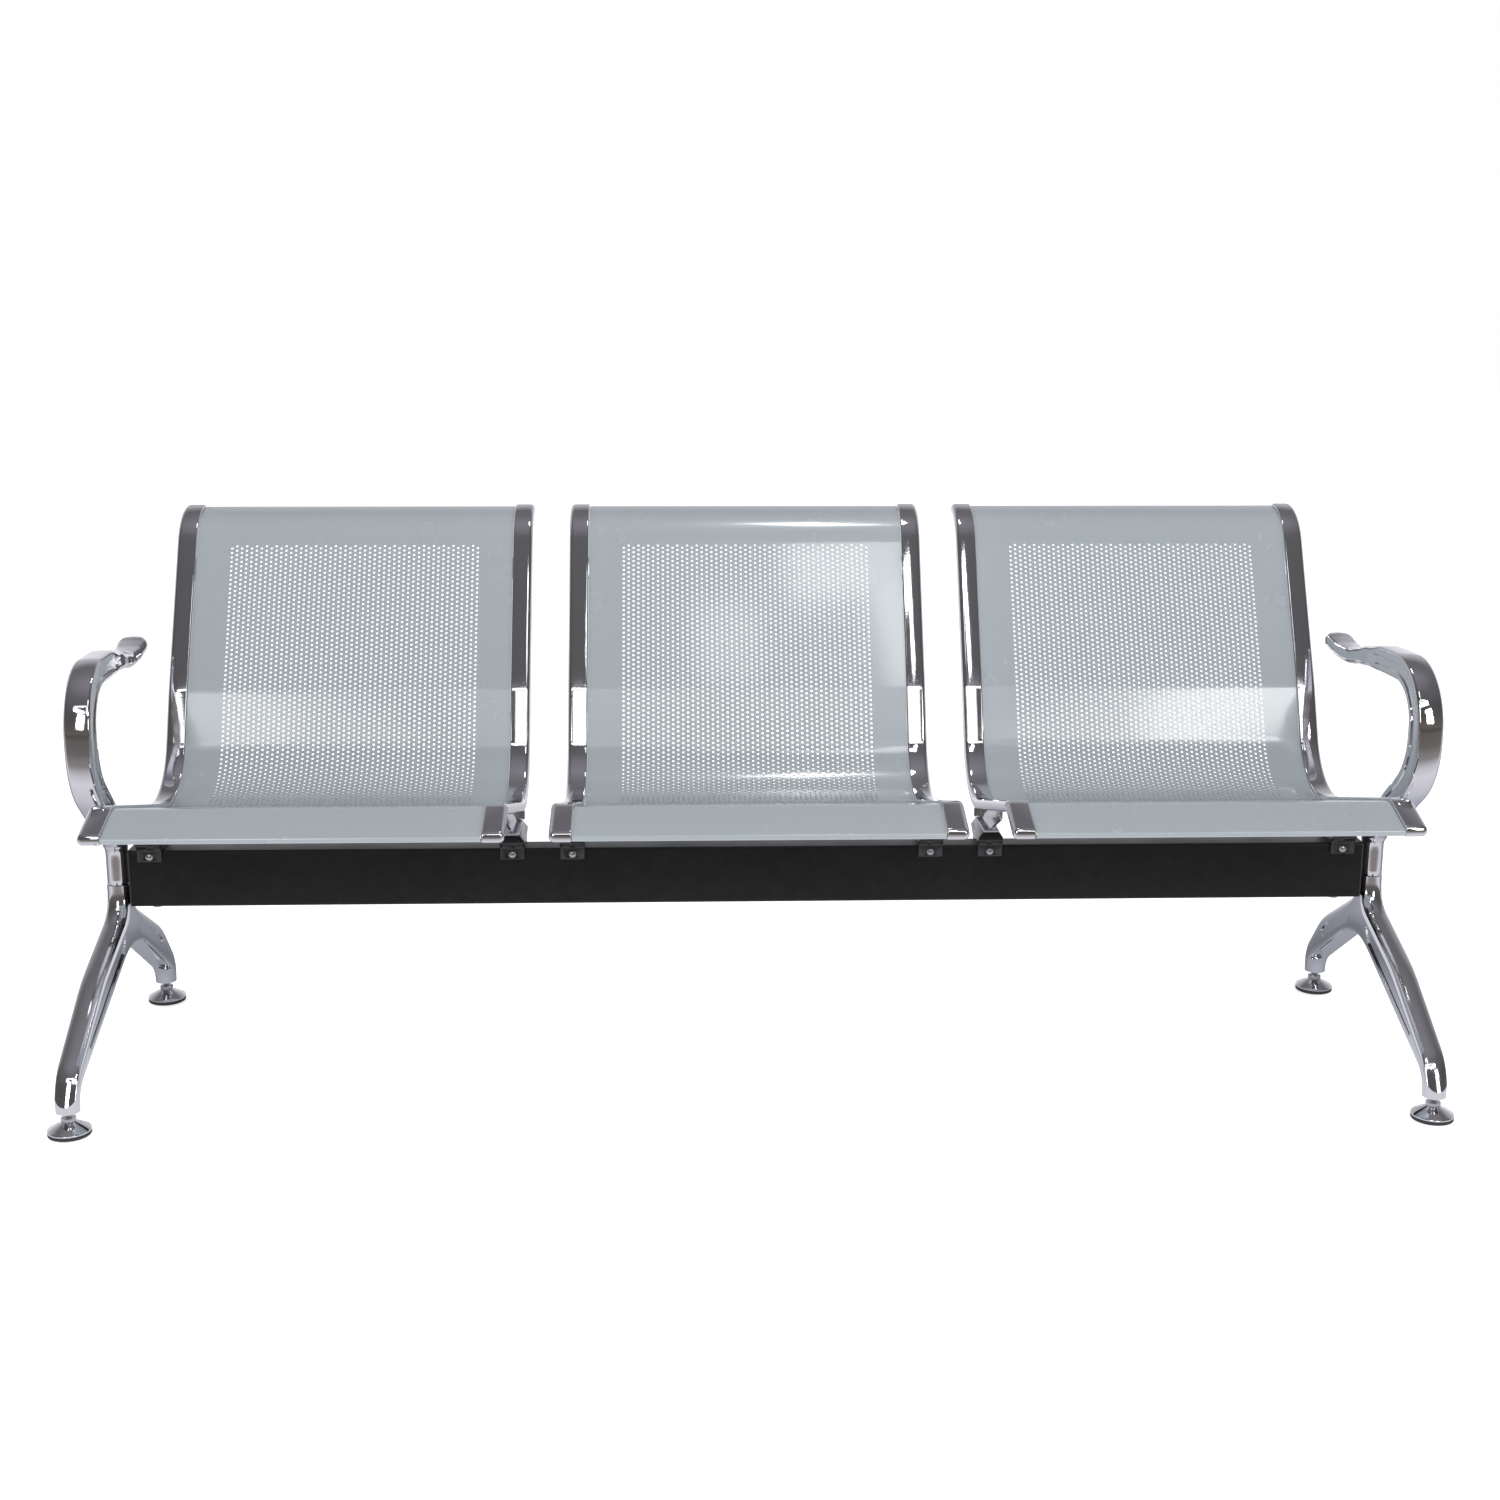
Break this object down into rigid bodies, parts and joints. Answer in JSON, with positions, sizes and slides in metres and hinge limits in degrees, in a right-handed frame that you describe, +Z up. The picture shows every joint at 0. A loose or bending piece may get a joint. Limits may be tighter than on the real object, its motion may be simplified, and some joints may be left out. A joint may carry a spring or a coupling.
{
  "type": "beam seating",
  "caption": "Row of metal waiting-room seats on one crossbeam, with perforated bent-sheet shells, side rails, end armrests, arched legs and levelling feet.",
  "frame": {"origin": "centre of the footprint on the floor", "axes": "+X along the crossbeam to the sitter's left (right in the picture), +Y from front to back, +Z up"},
  "size_m": [1.813, 0.6856, 0.7351],
  "materials": {
    "beam_black": "black powder coat, satin",
    "cap_black": "moulded, fine grain",
    "saddle_black": "black gloss",
    "bracket_chrome": "plated, bright",
    "rail_chrome": "plated, polished",
    "leg_chrome": "plated over a cast surface",
    "arm_chrome": "plated over a cast surface",
    "seat_coat": "light blue-grey powder coat, semi-gloss",
    "bolt_steel": "zinc plated",
    "cup_chrome": "plated, polished",
    "stud_steel": "zinc plated",
    "foot_rubber": "moulded"
  },
  "bodies": {
    "bench": {"armrest_left": "arm_chrome", "armrest_right": "arm_chrome", "beam_end_cap_left": "cap_black", "beam_end_cap_right": "cap_black", "bracket_centre_left": "bracket_chrome", "bracket_centre_right": "bracket_chrome", "bracket_left_left": "bracket_chrome", "bracket_left_right": "bracket_chrome", "bracket_right_left": "bracket_chrome", "bracket_right_right": "bracket_chrome", "clamp_bolts": "bolt_steel", "crossbeam": "beam_black", "leg_left": "leg_chrome", "leg_right": "leg_chrome", "saddle_centre_left": "saddle_black", "saddle_centre_right": "saddle_black", "saddle_left_left": "saddle_black", "saddle_left_right": "saddle_black", "saddle_right_left": "saddle_black", "saddle_right_right": "saddle_black", "seat_panel_centre": "seat_coat", "seat_panel_left": "seat_coat", "seat_panel_right": "seat_coat", "side_rail_centre_left": "rail_chrome", "side_rail_centre_right": "rail_chrome", "side_rail_left_left": "rail_chrome", "side_rail_left_right": "rail_chrome", "side_rail_right_left": "rail_chrome", "side_rail_right_right": "rail_chrome", "tongue_screws": "bolt_steel"},
    "foot_front_left": {"foot_cup_front_left": "cup_chrome", "foot_pad_front_left": "foot_rubber"},
    "stud_front_left": {"foot_stud_front_left": "stud_steel"},
    "foot_front_right": {"foot_cup_front_right": "cup_chrome", "foot_pad_front_right": "foot_rubber"},
    "stud_front_right": {"foot_stud_front_right": "stud_steel"},
    "foot_rear_left": {"foot_cup_rear_left": "cup_chrome", "foot_pad_rear_left": "foot_rubber"},
    "stud_rear_left": {"foot_stud_rear_left": "stud_steel"},
    "foot_rear_right": {"foot_cup_rear_right": "cup_chrome", "foot_pad_rear_right": "foot_rubber"},
    "stud_rear_right": {"foot_stud_rear_right": "stud_steel"}
  },
  "joints": [
    {"name": "foot_height_front_left", "type": "slide", "parent": "bench", "child": "foot_front_left", "axis": [0, 0, -1], "range_m": [-0.006, 0.015]},
    {"name": "stud_turn_front_left", "type": "hinge", "parent": "foot_front_left", "child": "stud_front_left", "pos_m": [-0.879, -0.31527, 0.018], "axis": [0, 0, -1], "range_deg": [-1440, 3600]},
    {"name": "foot_height_front_right", "type": "slide", "parent": "bench", "child": "foot_front_right", "axis": [0, 0, -1], "range_m": [-0.006, 0.015]},
    {"name": "stud_turn_front_right", "type": "hinge", "parent": "foot_front_right", "child": "stud_front_right", "pos_m": [0.879, -0.31527, 0.018], "axis": [0, 0, -1], "range_deg": [-1440, 3600]},
    {"name": "foot_height_rear_left", "type": "slide", "parent": "bench", "child": "foot_rear_left", "axis": [0, 0, -1], "range_m": [-0.006, 0.015]},
    {"name": "stud_turn_rear_left", "type": "hinge", "parent": "foot_rear_left", "child": "stud_rear_left", "pos_m": [-0.879, 0.18473, 0.018], "axis": [0, 0, -1], "range_deg": [-1440, 3600]},
    {"name": "foot_height_rear_right", "type": "slide", "parent": "bench", "child": "foot_rear_right", "axis": [0, 0, -1], "range_m": [-0.006, 0.015]},
    {"name": "stud_turn_rear_right", "type": "hinge", "parent": "foot_rear_right", "child": "stud_rear_right", "pos_m": [0.879, 0.18473, 0.018], "axis": [0, 0, -1], "range_deg": [-1440, 3600]}
  ],
  "couplings": [
    {"joint": "stud_turn_front_left", "follows": "foot_height_front_left", "rad_per_m": 4188.8},
    {"joint": "stud_turn_front_right", "follows": "foot_height_front_right", "rad_per_m": 4188.8},
    {"joint": "stud_turn_rear_left", "follows": "foot_height_rear_left", "rad_per_m": 4188.8},
    {"joint": "stud_turn_rear_right", "follows": "foot_height_rear_right", "rad_per_m": 4188.8}
  ]
}
